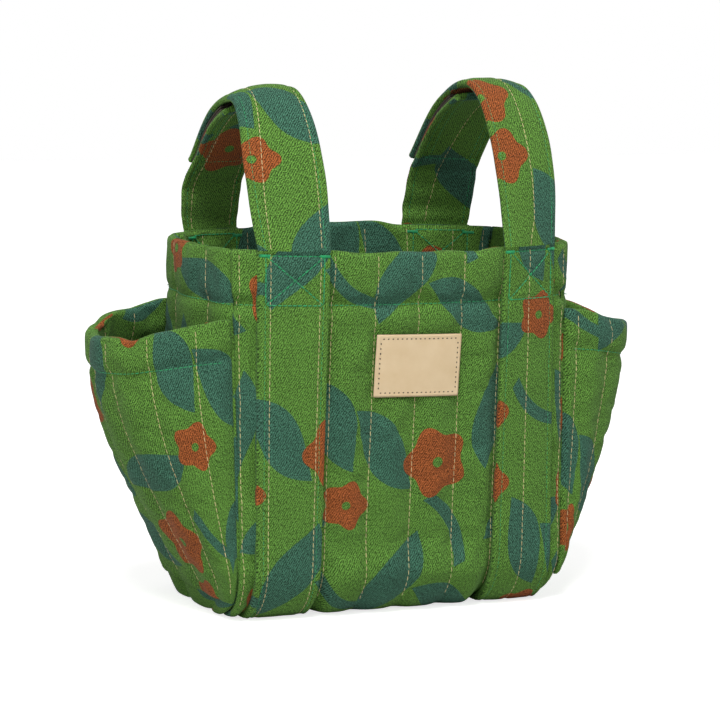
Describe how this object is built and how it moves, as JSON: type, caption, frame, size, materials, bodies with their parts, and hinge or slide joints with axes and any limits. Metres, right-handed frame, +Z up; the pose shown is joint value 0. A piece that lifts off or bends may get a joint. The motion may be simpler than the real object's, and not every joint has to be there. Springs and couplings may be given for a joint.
{
  "type": "quilted caddy bag",
  "caption": "Open-topped quilted cotton caddy bag with flared side pockets and carrying straps that close on short back tabs with hook and loop tape.",
  "frame": {"origin": "middle of the bottom of the base", "axes": "+X to the right seen from the front, +Y from the front to the back, +Z up"},
  "size_m": [0.329, 0.1416, 0.2925],
  "materials": {
    "quilted_cotton": "quilted cotton twill, printed, matte",
    "strap_cotton": "folded cotton twill, printed, matte",
    "hook_tape": "nylon hook tape",
    "loop_tape": "nylon loop tape",
    "label_leather": "undyed leather, bare",
    "brown_thread": "waxed thread",
    "green_thread": "polyester sewing thread"
  },
  "bodies": {
    "bag": {"front_panel": "quilted_cotton", "back_panel": "quilted_cotton", "base_panel": "quilted_cotton", "left_side_panel": "quilted_cotton", "right_side_panel": "quilted_cotton", "left_pocket": "quilted_cotton", "right_pocket": "quilted_cotton", "front_left_band": "strap_cotton", "front_right_band": "strap_cotton", "back_left_band": "strap_cotton", "back_right_band": "strap_cotton", "leather_label": "label_leather", "label_stitching": "brown_thread", "rim_stitching": "green_thread", "pocket_stitching": "green_thread", "strap_box_stitching": "green_thread", "bar_tacks": "green_thread"},
    "left_strap": {"left_strap": "strap_cotton"},
    "left_strap_end": {"left_strap_end": "strap_cotton", "left_hook_tape": "hook_tape"},
    "left_tab": {"left_tab": "strap_cotton", "left_loop_tape": "loop_tape"},
    "right_strap": {"right_strap": "strap_cotton"},
    "right_strap_end": {"right_strap_end": "strap_cotton", "right_hook_tape": "hook_tape"},
    "right_tab": {"right_tab": "strap_cotton", "right_loop_tape": "loop_tape"}
  },
  "joints": [
    {"name": "left_strap_swing", "type": "hinge", "parent": "bag", "child": "left_strap", "pos_m": [-0.07175, -0.0625, 0.206], "axis": [0.9488, -0.3158, 0], "range_deg": [0, 140]},
    {"name": "left_strap_end_peel", "type": "hinge", "parent": "left_strap", "child": "left_strap_end", "pos_m": [-0.07175, -0.00909, 0.2925], "axis": [0.9988, -0.0484, 0], "range_deg": [0, 110]},
    {"name": "left_tab_fold", "type": "hinge", "parent": "bag", "child": "left_tab", "pos_m": [-0.07175, 0.05905, 0.20516], "axis": [0.954, 0.2999, 0], "range_deg": [0, 80]},
    {"name": "right_strap_swing", "type": "hinge", "parent": "bag", "child": "right_strap", "pos_m": [0.07175, -0.0625, 0.206], "axis": [0.9488, 0.3158, 0], "range_deg": [0, 140]},
    {"name": "right_strap_end_peel", "type": "hinge", "parent": "right_strap", "child": "right_strap_end", "pos_m": [0.07175, -0.00909, 0.2925], "axis": [0.9988, 0.0484, 0], "range_deg": [0, 110]},
    {"name": "right_tab_fold", "type": "hinge", "parent": "bag", "child": "right_tab", "pos_m": [0.07175, 0.05905, 0.20516], "axis": [0.954, -0.2999, 0], "range_deg": [0, 80]}
  ]
}
